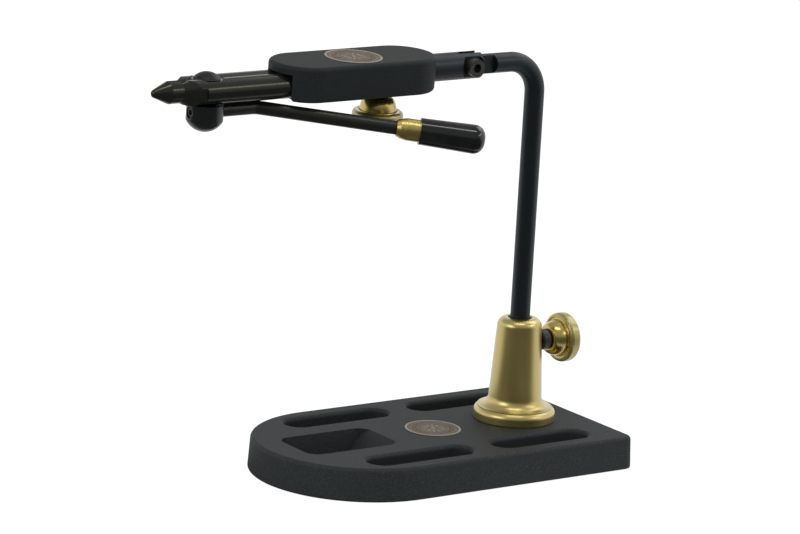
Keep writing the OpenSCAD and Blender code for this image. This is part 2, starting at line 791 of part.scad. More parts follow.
module rotation_lock_screw() {
    top = lock_tip_top - lock_tip_len;
    low = lock_knob_top - stub_share * knob_len;
    color(black) head() translate([-lock_s, 0, 0]) {
        translate([0, 0, low]) cylinder(h = top - low, d = lock_screw_d);
        translate([0, 0, lock_knob_top]) collar(lock_collar_len);
    }
}

module rotation_lock_knob() {
    head() translate([-lock_s, 0, lock_knob_top]) rotate([180, 0, 0]) knob(lock_screw_d);
}

// The jaws' own line, below the shaft's axis
module jaw_line() {
    head() translate([0, 0, -jaw_down]) children();
}

// One jaw: side is -1 for the near jaw and 1 for the far jaw
module jaw(side) {
    color(black) jaw_line() difference() {
        intersection() {
            translate([-pin_s, side * jaw_pin_y, 0]) rotate([0, -90, 0])
                translate([0, 0, -jaw_tail]) cylinder(h = tip_s - tail_s + cut, d = jaw_d);
            along_shaft(tip_s) rotate_extrude() jaw_turning();
        }
        translate([-tip_s - cut, side > 0 ? -jaw_d : -jaw_gap / 2, -jaw_d])
            cube([tip_s - tail_s + 2 * cut, jaw_d + jaw_gap / 2, 2 * jaw_d]);
        translate([-pin_s, side * jaw_pin_y, -jaw_d]) cylinder(h = 2 * jaw_d, d = jaw_pin_d + 2 * run_gap);
        translate([-cam_s, 0, 0]) cube([cam_d + 2 * free_gap, 2 * cam_slot, 2 * jaw_d], center = true);
        translate([-cam_s, 0, dome_seat]) cylinder(h = jaw_d, d = dome_d + 2 * dome_flat_margin);
        translate([-spring_s, 0, 0]) rotate([90, 0, 0])
            cylinder(h = tail_gap + 2 * spring_pocket, d = spring_pocket_d, center = true);
        translate([-pin_s, -tail_gap / 2, -jaw_d]) cube([jaw_tail + cut, tail_gap, 2 * jaw_d]);
        translate([-under_front_s, -2 * jaw_d, under_z - jaw_d])
            cube([under_front_s - tail_s + cut, 4 * jaw_d, jaw_d]);
        translate([-tip_s - cut, side > 0 ? jaw_flat_y : -jaw_flat_y - jaw_d, -jaw_d])
            cube([jaw_flat_end + cut, jaw_d, 2 * jaw_d]);
    }
}

// Outline that the closed pair of jaws is turned to, from the tip back
module jaw_turning() {
    full_r = jaw_pin_y + jaw_d;
    polygon(concat(arc(0, tip_ball_r, tip_ball_r, -90, -tip_slope), [[neck_r, tip_len], [neck_r, neck_end],
        [jaw_d + cut, flare_end], [full_r, flare_end], [full_r, tip_s], [0, tip_s]]));
}

module near_jaw() {
    jaw(-1);
}

module far_jaw() {
    jaw(1);
}

module jaw_pivot_pins() {
    low = cover_top - pin_foot;
    color("silver") head() for (side = [-1, 1]) translate([-pin_s, side * jaw_pin_y, low])
        cylinder(h = channel_top + pin_sink - low, d = jaw_pin_d);
}

// Point j on ring i of the spring's wire, in the spring's own frame
spring_rings = 8;
spring_sides = 6;
spring_r = (spring_d - spring_wire) / 2;
spring_pitch = (spring_len - spring_wire) / spring_turns;
function wire_point(i, j) =
    let (turn = 360 * i / spring_rings, round = 360 * j / spring_sides)
    [(spring_r + spring_wire / 2 * cos(round)) * cos(turn),
     (spring_r + spring_wire / 2 * cos(round)) * sin(turn),
     spring_pitch * i / spring_rings + spring_wire / 2 * sin(round)];

module jaw_spring() {
    rings = spring_turns * spring_rings;
    last = rings * spring_sides;
    points = [for (i = [0:rings], j = [0:spring_sides - 1]) wire_point(i, j)];
    sides = [for (i = [0:rings - 1], j = [0:spring_sides - 1])
        let (a = i * spring_sides + j, b = i * spring_sides + (j + 1) % spring_sides,
            c = a + spring_sides, d = b + spring_sides) each [[a, c, b], [b, c, d]]];
    ends = [for (j = [1:spring_sides - 2]) each [[0, j, j + 1], [last, last + j + 1, last + j]]];
    color("silver") jaw_line() translate([-spring_s, (spring_len - spring_wire) / 2, 0]) rotate([90, 0, 0])
        polyhedron(points, concat(sides, ends));
}

// Part of a ball: a dome of the given width and height standing on z = 0
module dome(d, h) {
    ball_r = (d * d / 4 + h * h) / (2 * h);
    rotate_extrude() intersection() {
        translate([0, h - ball_r]) circle(ball_r);
        square([d / 2, h]);
    }
}

module cam_pin() {
    shank_top = dome_seat + free_gap;
    color(black) jaw_line() translate([-cam_s, 0, 0]) {
        translate([0, 0, shank_top]) dome(dome_d, dome_h);
        intersection() {
            translate([0, 0, hub_top]) cylinder(h = shank_top - hub_top, d = cam_d);
            translate([0, 0, -jaw_d]) linear_extrude(2 * jaw_d) square([cam_d, cam_flats], center = true);
        }
        translate([0, 0, hub_top - hub_pin_len]) cylinder(h = hub_pin_len, d = hub_pin_d);
    }
}

module lever_hub() {
    color(black) jaw_line() translate([-cam_s, 0, 0]) difference() {
        union() {
            translate([0, 0, hub_top - hub_h]) cylinder(h = hub_h, d = hub_d);
            translate([0, 0, hub_top - hub_h]) rotate([180, 0, 0]) dome(hub_d, hub_dome_h);
        }
        translate([0, 0, hub_top - hub_pin_len - free_gap])
            cylinder(h = hub_pin_len + free_gap + cut, d = hub_pin_d + 2 * run_gap);
        translate([0, 0, lever_z]) rotate([0, 90, 0]) cylinder(h = hub_d, d = lever_d + 2 * run_gap);
        translate([0, 0, lever_z]) rotate([0, -90, 0]) cylinder(h = hub_d, d = set_screw_d + 2 * thread_gap);
    }
}

module hub_set_screw() {
    color("dimgray") jaw_line() translate([-cam_s - hub_d / 2 + set_screw_in, 0, lever_z]) rotate([0, 90, 0])
        difference() {
            cylinder(h = set_screw_len, d = set_screw_d);
            translate([0, 0, -cut]) cylinder(h = set_screw_hex + cut, r = set_screw_hex / sqrt(3), $fn = 6);
        }
}

// The lever's frame at its bend, with +X on past the bend
module past_bend() {
    jaw_line() translate([-cam_s, 0, lever_z]) rotate([lever_lean, 0, 0]) translate([lever_bend_at, 0, 0])
        rotate(-lever_turn) children();
}

// A rod along +X with a ball over each end that is named, so that bent runs join
module rod_run(len, balls) {
    rotate([0, 90, 0]) {
        cylinder(h = len, d = lever_d);
        for (x = balls) translate([0, 0, x]) sphere(d = lever_d + run_gap);
    }
}

module lever_rod() {
    start = hub_pin_d / 2 + free_gap;
    end = grip_at + lever_in_grip_share * grip_len;
    straight = lever_bend_at - lever_tangent;
    chord = 2 * lever_bend_r * sin(lever_turn / 2);
    color(black) {
        jaw_line() translate([-cam_s, 0, lever_z]) rotate([lever_lean, 0, 0]) {
            translate([start, 0, 0]) rod_run(straight - start, []);
            translate([straight, 0, 0]) rotate(-lever_turn / 2) rod_run(chord, [0, chord]);
        }
        past_bend() translate([lever_tangent, 0, 0]) rod_run(end - lever_tangent, []);
    }
}

module lever_ferrule() {
    taper = ferrule_taper_share * ferrule_len;
    swell = ferrule_swell_share * ferrule_len;
    swell_d = ferrule_nose_d + ferrule_swell_d_share * (ferrule_d - ferrule_nose_d);
    color(brass) past_bend() translate([ferrule_at, 0, 0]) rotate([0, 90, 0]) difference() {
        rotate_extrude() polygon([[0, 0], [ferrule_nose_d / 2, 0], [swell_d / 2, swell],
            [ferrule_d / 2, taper], [ferrule_d / 2, ferrule_len], [ferrule_tail_d / 2, ferrule_len],
            [ferrule_tail_d / 2, ferrule_len + ferrule_sunk], [0, ferrule_len + ferrule_sunk]]);
        translate([0, 0, -cut])
            cylinder(h = ferrule_len + ferrule_sunk + 2 * cut, d = lever_d + 2 * run_gap);
    }
}

module lever_grip() {
    near_r = grip_near_d / 2;
    far_r = grip_far_d / 2;
    color(black) past_bend() translate([grip_at, 0, 0]) rotate([0, 90, 0]) difference() {
        rotate_extrude() intersection() {
            union() {
                polygon([[0, 0], [near_r, 0], [far_r, grip_len - grip_nose_r],
                    [far_r - grip_nose_r, grip_len], [0, grip_len]]);
                translate([far_r - grip_nose_r, grip_len - grip_nose_r]) circle(grip_nose_r);
            }
            square([far_r, grip_len]);
        }
        translate([0, 0, -cut])
            cylinder(h = lever_in_grip_share * grip_len + cut + free_gap, d = lever_d + 2 * run_gap);
        translate([0, 0, -cut])
            cylinder(h = ferrule_sunk + cut + free_gap, d = ferrule_tail_d + 2 * run_gap);
    }
}

base_plate();
base_pad();
base_medallion();
pedestal();
pedestal_bolt();
stem_bush();
stem();
stem_clamp_tip();
stem_clamp_screw();
stem_clamp_knob();
head_shaft();
knuckle_screw();
shaft_bush();
head_housing();
head_medallion();
housing_cover();
cover_screws();
rotation_lock_tip();
rotation_lock_screw();
rotation_lock_knob();
near_jaw();
far_jaw();
jaw_pivot_pins();
jaw_spring();
cam_pin();
lever_hub();
hub_set_screw();
lever_rod();
lever_ferrule();
lever_grip();
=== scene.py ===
import json
import math

import bmesh
import bpy
from mathutils import Matrix, Vector


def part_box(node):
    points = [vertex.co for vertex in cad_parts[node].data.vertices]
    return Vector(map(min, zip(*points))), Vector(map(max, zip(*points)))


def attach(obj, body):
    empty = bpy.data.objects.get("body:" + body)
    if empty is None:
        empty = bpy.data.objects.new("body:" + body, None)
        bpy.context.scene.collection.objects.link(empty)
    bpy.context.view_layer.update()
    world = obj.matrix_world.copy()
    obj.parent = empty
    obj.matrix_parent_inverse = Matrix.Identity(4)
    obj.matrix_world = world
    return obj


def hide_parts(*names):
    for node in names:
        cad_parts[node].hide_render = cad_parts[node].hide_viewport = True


# A fly tying vise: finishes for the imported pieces, and finer pieces for what is engraved, bent or wound.
# Metres throughout. MM turns a size in millimetres into metres.
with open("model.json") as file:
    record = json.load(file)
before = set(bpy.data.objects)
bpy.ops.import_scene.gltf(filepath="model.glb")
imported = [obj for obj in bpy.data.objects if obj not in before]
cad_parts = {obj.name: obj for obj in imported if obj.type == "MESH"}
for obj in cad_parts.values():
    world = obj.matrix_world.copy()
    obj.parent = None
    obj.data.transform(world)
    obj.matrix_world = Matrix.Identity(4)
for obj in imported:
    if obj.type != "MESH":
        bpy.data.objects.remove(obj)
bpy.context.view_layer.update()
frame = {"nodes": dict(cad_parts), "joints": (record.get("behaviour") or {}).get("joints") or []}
MM = 0.001

# Camera
camera_spot = Vector((-1.1397, -1.49045, 0.5347))
camera_yaw = math.radians(-35.60)
camera_pitch = math.radians(13.40)
camera_roll = math.radians(3.24)
camera_lens = 180.54

# Studio
floor_reach = 9.0
floor_drop = 0.05 * MM
floor_near = 0.07
floor_tone = 0.88
floor_white = 1.12
floor_white_share = 0.88
to_camera = Vector((-0.607, -0.795, 0))
lamp_aim = Vector((-0.06, 0, 0.12))

# Places and sizes of the cam and the lever, as in the part
cam_s = 143.8 * MM
lever_level = -11.95 * MM
lever_start = 3.3 * MM
lever_d = 6.35 * MM
lever_bend_at = 27 * MM
lever_bend_r = 8 * MM
lever_splay = math.radians(30)
lever_fall = math.radians(5.3)
lever_past_bend = 96.9 * MM

# Radius past which the knobs are dull
knob_rim = 10.4 * MM

# Medallions
medal_t = 1.2 * MM
medal_proud = 0.25 * MM
medal_d = 27 * MM
medal_rim = 1.1 * MM
bead_count = 56
flute_count = 72
petal_count = 12
medal_steps = 128

# Spring between the jaws' tails
spring_s = 65.4 * MM
spring_level = -1.95 * MM
spring_span = 8.3 * MM
spring_wire_d = 1 * MM
spring_mean_r = 2.4 * MM
spring_turns = 5
spring_steps = 28

# Points of a fine piece that are closer than this are one point
same_point = 0.0005 * MM


def joint(name):
    """The frame's joint of that name."""
    return next(j for j in frame["joints"] if j["name"] == name)


def head_matrix():
    """The head's own frame: X back along the shaft, Z out of the housing's top, from the knuckle pin."""
    back = Vector(joint("head_rotation")["axis"]).normalized()
    up = Vector(joint("lever_squeeze")["axis"]).normalized()
    side = up.cross(back).normalized()
    turned = Matrix((back, side, up)).transposed().to_4x4()
    return Matrix.Translation(joint("head_rotation")["pos_m"]) @ turned


HEAD = head_matrix()
head_back = HEAD.to_3x3() @ Vector((1, 0, 0))
head_up = HEAD.to_3x3() @ Vector((0, 0, 1))


def along_head(s, z=0.0):
    """A place in the head, a distance s ahead of the knuckle pin and z above the shaft's axis."""
    return HEAD @ Matrix.Translation((-s, 0, z))


def centre_of(node):
    low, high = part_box(node)
    return (low + high) / 2


# Camera and lamps


def make_camera():
    level_right = Vector((math.cos(camera_yaw), math.sin(camera_yaw), 0))
    forward = Vector((-math.sin(camera_yaw) * math.cos(camera_pitch),
                      math.cos(camera_yaw) * math.cos(camera_pitch), -math.sin(camera_pitch)))
    level_up = level_right.cross(forward)
    right = math.cos(camera_roll) * level_right + math.sin(camera_roll) * level_up
    up = right.cross(forward)
    data = bpy.data.cameras.new("camera")
    data.lens = camera_lens
    data.sensor_width = 36
    data.clip_start = 0.01
    data.clip_end = 50
    camera = bpy.data.objects.new("camera", data)
    bpy.context.scene.collection.objects.link(camera)
    turned = Matrix((right, up, -forward)).transposed().to_4x4()
    camera.matrix_world = Matrix.Translation(camera_spot) @ turned
    bpy.context.scene.camera = camera


def soft_box(name, azimuth, elevation, distance, width, height, radiance, mirrored=True):
    """A rectangular lamp that looks at the vise from a direction, as bright to look at as radiance says."""
    a, e = math.radians(azimuth), math.radians(elevation)
    out = Vector((math.cos(a) * math.cos(e), math.sin(a) * math.cos(e), math.sin(e)))
    data = bpy.data.lights.new(name, "AREA")
    data.shape = "RECTANGLE"
    data.size = width
    data.size_y = height
    data.energy = radiance * width * height * math.pi
    lamp = bpy.data.objects.new(name, data)
    bpy.context.scene.collection.objects.link(lamp)
    facing = out.to_track_quat("Z", "Y").to_matrix().to_4x4()
    lamp.matrix_world = Matrix.Translation(lamp_aim + out * distance) @ facing
    lamp.visible_glossy = mirrored


# Nodes


class Term:
    """A value in a finish. Arithmetic on it adds the Math nodes that work it out."""

    def __init__(self, finish, socket):
        self.finish = finish
        self.socket = socket

    def math(self, operation, *values):
        return self.finish.node("ShaderNodeMath", {"operation": operation}, dict(enumerate(values)))

    def __add__(self, other):
        return self.math("ADD", self, other)

    def __radd__(self, other):
        return self.math("ADD", other, self)

    def __sub__(self, other):
        return self.math("SUBTRACT", self, other)

    def __rsub__(self, other):
        return self.math("SUBTRACT", other, self)

    def __mul__(self, other):
        return self.math("MULTIPLY", self, other)

    def __rmul__(self, other):
        return self.math("MULTIPLY", other, self)


class Nodes:
    """Adds nodes to a tree by calls."""

    def put(self, socket, value):
        if isinstance(value, Term):
            self.tree.links.new(value.socket, socket)
        elif socket.type == "RGBA":
            socket.default_value = (*value[:3], 1)
        else:
            socket.default_value = value

    def node(self, kind, settings=None, inputs=None, output=0):
        made = self.tree.nodes.new(kind)
        for name, value in (settings or {}).items():
            setattr(made, name, value)
        for name, value in (inputs or {}).items():
            self.put(made.inputs[name], value)
        return Term(self, made.outputs[output] if made.outputs else None)

    def vector(self, operation, *values, output=0):
        return self.node("ShaderNodeVectorMath", {"operation": operation}, dict(enumerate(values)), output)


class Finish(Nodes):
    """A material whose nodes are added by calls. The shader's own sockets hold what is alike all over."""

    def __init__(self, name, **own):
        self.material = bpy.data.materials.new(name)
        self.material.use_nodes = True
        self.tree = self.material.node_tree
        self.shader = self.tree.nodes["Principled BSDF"]
        self.set(**own)

    def set(self, **own):
        for name, value in own.items():
            self.put(self.shader.inputs[SOCKETS[name]], value)

    def spot(self):
        return self.node("ShaderNodeTexCoord", output="Object")

    def noise(self, size, detail=2.0, roughness=0.5):
        """Noise whose features are about that size, in metres."""
        return self.node("ShaderNodeTexNoise", None, {"Vector": self.spot(), "Scale": 1 / size,
                                                      "Detail": detail, "Roughness": roughness})

    def rings(self, along, size, detail=2.0):
        """Noise in rings, that changes along one value only."""
        return self.node("ShaderNodeTexNoise", {"noise_dimensions": "1D"},
                         {"W": along, "Scale": 1 / size, "Detail": detail, "Roughness": 0.55})

    def cells(self, size):
        return self.node("ShaderNodeTexVoronoi", {"feature": "SMOOTH_F1"},
                         {"Vector": self.spot(), "Scale": 1 / size, "Smoothness": 0.4})

    def between(self, value, low, high):
        """0 where the value is at low, 1 at high, and held there."""
        return self.node("ShaderNodeMapRange", None, {"Value": value, "From Min": low, "From Max": high})

    def mix(self, share, first, second):
        return self.node("ShaderNodeMix", {"data_type": "RGBA"}, {0: share, 6: first, 7: second}, 2)

    def bump(self, height, depth, strength):
        return self.node("ShaderNodeBump", None, {"Height": height, "Distance": depth, "Strength": strength})

    def arm(self, centre):
        return self.vector("SUBTRACT", self.spot(), tuple(centre))

    def turned(self, centre, axis):
        """How far a point lies along an axis and out from it."""
        arm = self.arm(centre)
        along = self.vector("DOT_PRODUCT", arm, tuple(axis), output=1)
        line = self.vector("SCALE", tuple(axis))
        self.put(line.socket.node.inputs["Scale"], along)
        out = self.vector("LENGTH", self.vector("SUBTRACT", arm, line), output=1)
        return along, out


SOCKETS = {
    "colour": "Base Color", "metallic": "Metallic", "roughness": "Roughness",
    "specular": "Specular IOR Level", "tint": "Specular Tint", "coat": "Coat Weight",
    "coat_roughness": "Coat Roughness", "coat_ior": "Coat IOR", "normal": "Normal",
}


# Finishes


def powder_coat(name, specular, speck, dark, pale):
    """Black coat with a fine sprayed grain, between a dark and a paler black in slow clouds."""
    f = Finish(name, specular=specular, tint=(0.88, 0.97, 1.0))
    grain = f.noise(0.45 * MM, 3, 0.6)
    orange_peel = f.cells(1.1 * MM)
    clouds = f.noise(38 * MM, 3, 0.55)
    dust = f.between(f.noise(0.6 * MM, 1, 0.4), 0.51, 0.74)
    body = f.mix(clouds, dark, pale)
    speckled = f.mix(dust * speck, body, (0.046, 0.053, 0.058))
    height = grain * 0.6 + orange_peel * 0.6
    f.set(colour=speckled, roughness=0.50 + 0.20 * grain, normal=f.bump(height, 0.08 * MM, 0.6))
    return f.material


def pad_rubber():
    f = Finish("pad_rubber", specular=0.3)
    pores = f.noise(0.4 * MM, 2)
    f.set(colour=f.mix(f.noise(12 * MM), (0.018, 0.018, 0.018), (0.032, 0.031, 0.030)),
          roughness=0.75 + 0.15 * pores, normal=f.bump(pores, 0.08 * MM, 0.6))
    return f.material


def aged_bronze():
    """Muted old bronze, a little darker in its hollows and paler on what stands up."""
    f = Finish("aged_bronze", metallic=0.6, specular=0.4)
    relief = f.node("ShaderNodeAttribute", {"attribute_name": "relief"}, output="Fac")
    stain = f.noise(2.2 * MM, 4, 0.65)
    worn = f.between(relief + 0.35 * stain, 0.25, 1.35)
    patina = f.mix(stain, (0.115, 0.095, 0.073), (0.165, 0.140, 0.110))
    rubbed = f.mix(f.noise(5 * MM, 2), (0.330, 0.285, 0.225), (0.410, 0.355, 0.280))
    f.set(colour=f.mix(worn, patina, rubbed), roughness=0.62 - 0.12 * worn,
          normal=f.bump(f.noise(0.35 * MM, 3), 0.02 * MM, 0.4))
    return f.material


def satin_gold():
    """Fine-blasted aluminium, anodised champagne gold."""
    f = Finish("satin_gold", metallic=1.0, coat=1.0, coat_roughness=0.30, coat_ior=2.2)
    along, out = f.turned((0, 0, 0), (0, 0, 1))
    blast = f.noise(0.32 * MM, 3, 0.6)
    cloud = f.noise(16 * MM, 3, 0.5)
    rings = f.rings(along + out, 0.5 * MM)
    tone = f.mix(cloud, (0.500, 0.368, 0.022), (0.550, 0.412, 0.038))
    grained = f.mix(f.between(blast, 0.35, 0.75) * 0.35, tone, (0.60, 0.50, 0.22))
    f.set(colour=grained, roughness=0.30 + 0.06 * cloud + 0.04 * rings,
          normal=f.bump(blast * 0.7 + rings * 0.3, 0.020 * MM, 0.5))
    return f.material


def turned_brass(name, centre, axis, polish, rim=None):
    """Brass with the fine rings of the lathe about its own axis, and a dull rim past a radius."""
    f = Finish(name, metallic=1.0, coat=1.0, coat_roughness=0.24, coat_ior=1.8)
    along, out = f.turned(centre, axis)
    rings = f.rings(along * 0.8 + out, 0.3 * MM)
    bands = f.rings(along * 0.8 + out, 1.6 * MM, 1.0)
    tarnish = f.noise(9 * MM, 2, 0.5)
    tone = f.mix(tarnish, (0.51, 0.375, 0.045), (0.59, 0.445, 0.070))
    tone = f.mix(rings * 0.3, tone, (0.68, 0.57, 0.23))
    rough = polish + 0.05 * tarnish + 0.08 * bands
    if rim:
        dull = f.between(out, rim - 0.3 * MM, rim + 0.3 * MM)
        tone = f.mix(dull * 0.8, tone, (0.41, 0.34, 0.11))
        rough = rough + 0.22 * dull
    f.set(colour=tone, roughness=rough, normal=f.bump(rings * 0.5 + bands * 0.5, 0.005 * MM, 0.5))
    return f.material


def satin_black(name, centre, axis):
    """Black-coated steel rod with a dull sheen, faint rub marks and fine rings about its axis."""
    f = Finish(name, specular=0.42, tint=(0.80, 0.94, 1.0))
    along = f.turned(centre, axis)[0]
    fine = f.noise(0.35 * MM, 2)
    rubs = f.noise(9 * MM, 4, 0.6)
    scuff = f.between(f.noise(2.4 * MM, 3, 0.7), 0.62, 0.80)
    rings = f.rings(along, 0.6 * MM)
    f.set(colour=f.mix(scuff * 0.3, (0.0050, 0.0072, 0.0082), (0.016, 0.019, 0.021)),
          roughness=0.34 + 0.10 * rubs + 0.05 * scuff,
          normal=f.bump(fine * 0.6 + rings * 0.4, 0.008 * MM, 0.5))
    return f.material


def black_oxide(name, centre, axis, gloss, tint, specular=0.5):
    """Oiled black oxide on turned steel: a tinted sheen, faint turning marks and handling stains."""
    f = Finish(name, specular=specular, tint=tint)
    along, out = f.turned(centre, axis)
    rings = f.rings(along + out, 0.5 * MM)
    oil = f.noise(7 * MM, 4, 0.6)
    stain = f.noise(1.8 * MM, 3, 0.6)
    f.set(colour=f.mix(oil, (0.0040, 0.0045, 0.0048), (0.0080, 0.0085, 0.0088)),
          roughness=gloss + 0.06 * oil + 0.03 * stain,
          normal=f.bump(rings * 0.3 + stain * 0.3, 0.001 * MM, 0.4))
    return f.material


def screw_black(name, knurls=0, centre=(0, 0, 0), axis=(0, 0, 1)):
    """Black screw steel, with a knurled side about an axis where knurls are given."""
    f = Finish(name, specular=0.5, tint=(1.0, 0.93, 0.82))
    soot = f.noise(1.2 * MM, 3, 0.6)
    height = f.noise(0.25 * MM, 2) * 0.4
    if knurls:
        arm = f.arm(centre)
        other = Vector(axis).orthogonal().normalized()
        third = Vector(axis).cross(other)
        across = f.vector("DOT_PRODUCT", arm, tuple(other), output=1)
        up = f.vector("DOT_PRODUCT", arm, tuple(third), output=1)
        angle = f.node("ShaderNodeMath", {"operation": "ARCTAN2"}, {0: across, 1: up})
        ridge = f.node("ShaderNodeMath", {"operation": "SINE"}, {0: angle * knurls})
        height = height + ridge * 2.0
    f.set(colour=f.mix(soot, (0.008, 0.008, 0.008), (0.020, 0.018, 0.016)),
          roughness=0.32 + 0.2 * soot, normal=f.bump(height, 0.03 * MM, 0.7))
    return f.material


def nylon(name, low, high):
    f = Finish(name, specular=0.4)
    mottle = f.noise(1.5 * MM, 3)
    f.set(colour=f.mix(mottle, low, high), roughness=0.42 + 0.18 * mottle,
          normal=f.bump(f.noise(0.4 * MM, 2), 0.02 * MM, 0.4))
    return f.material


def ground_steel():
    f = Finish("ground_steel", metallic=1.0)
    grain = f.noise(0.22 * MM, 3, 0.6)
    f.set(colour=f.mix(f.noise(3 * MM, 3), (0.50, 0.50, 0.51), (0.62, 0.62, 0.63)),
          roughness=0.24 + 0.14 * grain, normal=f.bump(grain, 0.012 * MM, 0.5))
    return f.material


def grip_vinyl():
    """Dipped vinyl: glossy, with a slow wave in its skin and a few dull smudges."""
    f = Finish("grip_vinyl", specular=0.45, coat=0.2, coat_roughness=0.05)
    wave = f.noise(9 * MM, 2, 0.4)
    smudge = f.between(f.noise(6 * MM, 4, 0.65), 0.45, 0.75)
    f.set(colour=f.mix(smudge, (0.0030, 0.0034, 0.0038), (0.0060, 0.0065, 0.0072)),
          roughness=0.10 + 0.10 * smudge, normal=f.bump(wave, 0.10 * MM, 0.6))
    return f.material


# Floor and world


class Ground(Nodes):
    """The nodes of the floor or of the world, which look different to a camera and to a gloss."""

    def __init__(self, tree):
        self.tree = tree
        tree.nodes.clear()
        self.camera = self.path("Is Camera Ray")
        self.clear = self.path("Is Transmission Ray")
        self.gloss = self.path("Is Glossy Ray")

    def path(self, kind):
        return self.node("ShaderNodeLightPath", output=kind)

    def falls(self, value, low, high):
        """1 where the value is at low, 0 at high, and smooth in between."""
        return self.node("ShaderNodeMapRange", {"interpolation_type": "SMOOTHSTEP"},
                         {"Value": value, "From Min": low, "From Max": high, "To Min": 1.0, "To Max": 0.0})

    def blend(self, share, first, second):
        return self.node("ShaderNodeMixShader", None, {0: share, 1: first, 2: second})


def stage_floor():
    """Pale floor with a faint shadow, white to the camera. A gloss sees it dark on the camera's side."""
    material = bpy.data.materials.new("stage_floor")
    material.use_nodes = True
    g = Ground(material.node_tree)
    place = g.node("ShaderNodeNewGeometry", output="Position")
    reach = g.vector("LENGTH", place, output=1)
    ahead = g.vector("DOT_PRODUCT", g.vector("NORMALIZE", place), tuple(to_camera), output=1)
    beyond = 1.0 - g.falls(reach, floor_near, 2 * floor_near)
    seen = 0.85 - 0.75 * (beyond * (1.0 - g.falls(ahead, -0.05, 0.45)))
    diffuse = g.node("ShaderNodeBsdfDiffuse", None, {"Color": (floor_tone, floor_tone, floor_tone)})
    white = g.node("ShaderNodeEmission", None, {"Color": (1, 1, 1), "Strength": floor_white})
    mirrored = g.node("ShaderNodeEmission", None, {"Color": (1, 1, 1), "Strength": seen})
    plain = g.blend((g.camera + g.clear) * floor_white_share, diffuse, white)
    g.node("ShaderNodeOutputMaterial", None, {"Surface": g.blend(g.gloss, plain, mirrored)})
    return material


def make_floor():
    bm = bmesh.new()
    bmesh.ops.create_grid(bm, x_segments=1, y_segments=1, size=floor_reach,
                          matrix=Matrix.Translation((0, 0, -floor_drop)))
    mesh = bpy.data.meshes.new("floor")
    bm.to_mesh(mesh)
    bm.free()
    mesh.materials.append(stage_floor())
    made = bpy.data.objects.new("floor", mesh)
    bpy.context.scene.collection.objects.link(made)


def make_world():
    """White to the camera. A gloss sees it bright low down, grey overhead and dark on the camera's side."""
    world = bpy.data.worlds.new("studio")
    bpy.context.scene.world = world
    world.use_nodes = True
    g = Ground(world.node_tree)
    way = g.vector("SCALE", g.node("ShaderNodeNewGeometry", output="Incoming"))
    way.socket.node.inputs["Scale"].default_value = -1
    rise = g.vector("DOT_PRODUCT", way, (0.0, 0.0, 1.0), output=1)
    ahead = g.vector("DOT_PRODUCT", way, tuple(to_camera), output=1)
    low = g.falls(rise, 0.22, 0.62)
    beside = g.falls(ahead, 0.10, 0.55)
    high = 1.0 - g.falls(rise, 0.12, 0.45)
    light = g.node("ShaderNodeBackground", None, {"Color": (1, 1, 1), "Strength": 0.75})
    white = g.node("ShaderNodeBackground", None, {"Color": (1, 1, 1), "Strength": 1.0})
    seen = 0.10 + 0.32 * high + 0.80 * (low * beside)
    tent = g.node("ShaderNodeBackground", None, {"Color": (1, 1, 1), "Strength": seen})
    plain = g.blend(g.camera + g.clear, light, white)
    g.node("ShaderNodeOutputWorld", None, {"Surface": g.blend(g.gloss, plain, tent)})


# Pieces


def piece(bm, name, body, material, node, crease):
    """Closes and shades a shape, and sets it on its body in place of a node."""
    bmesh.ops.remove_doubles(bm, verts=bm.verts, dist=same_point)
    bmesh.ops.recalc_face_normals(bm, faces=bm.faces)
    mesh = bpy.data.meshes.new(name)
    bm.to_mesh(mesh)
    bm.free()
    mesh.polygons.foreach_set("use_smooth", [True] * len(mesh.polygons))
    mesh.set_sharp_from_angle(angle=math.radians(crease))
    mesh.materials.append(material)
    made = bpy.data.objects.new(name, mesh)
    bpy.context.scene.collection.objects.link(made)
    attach(made, body)
    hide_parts(node)


def bent_lever(material):
    """The lever: a rod along X from the hub, bent outwards and slightly down."""
    turn = math.acos(math.cos(lever_splay) * math.cos(lever_fall))
    lean = math.atan2(math.sin(lever_fall), math.sin(lever_splay) * math.cos(lever_fall))
    tangent = lever_bend_r * math.tan(turn / 2)
    straight = lever_bend_at - tangent
    bm = bmesh.new()
    made = bmesh.ops.create_circle(bm, cap_ends=True, segments=64, radius=lever_d / 2,
                                   matrix=Matrix.Translation((lever_start, 0, 0))
                                   @ Matrix.Rotation(math.pi / 2, 4, "Y"))
    end = list({f for v in made["verts"] for f in v.link_faces})
    end = push(bm, end, Vector((straight - lever_start, 0, 0)))
    spun = bmesh.ops.spin(bm, geom=end + list(end[0].edges) + list(end[0].verts),
                          cent=(straight, -lever_bend_r, 0), axis=(0, 0, -1), angle=turn, steps=24)
    end = [g for g in spun["geom_last"] if isinstance(g, bmesh.types.BMFace)]
    push(bm, end, Vector((math.cos(turn), -math.sin(turn), 0)) * (lever_past_bend - tangent))
    bm.transform(along_head(cam_s, lever_level) @ Matrix.Rotation(lean, 4, "X"))
    piece(bm, "lever_rod_bent", "lever", material, "lever_rod", crease=40)


def push(bm, faces, step):
    """Extrudes faces by a step and gives the faces at its end."""
    made = bmesh.ops.extrude_face_region(bm, geom=faces)["geom"]
    bmesh.ops.translate(bm, vec=step, verts=[g for g in made if isinstance(g, bmesh.types.BMVert)])
    return [g for g in made if isinstance(g, bmesh.types.BMFace)]


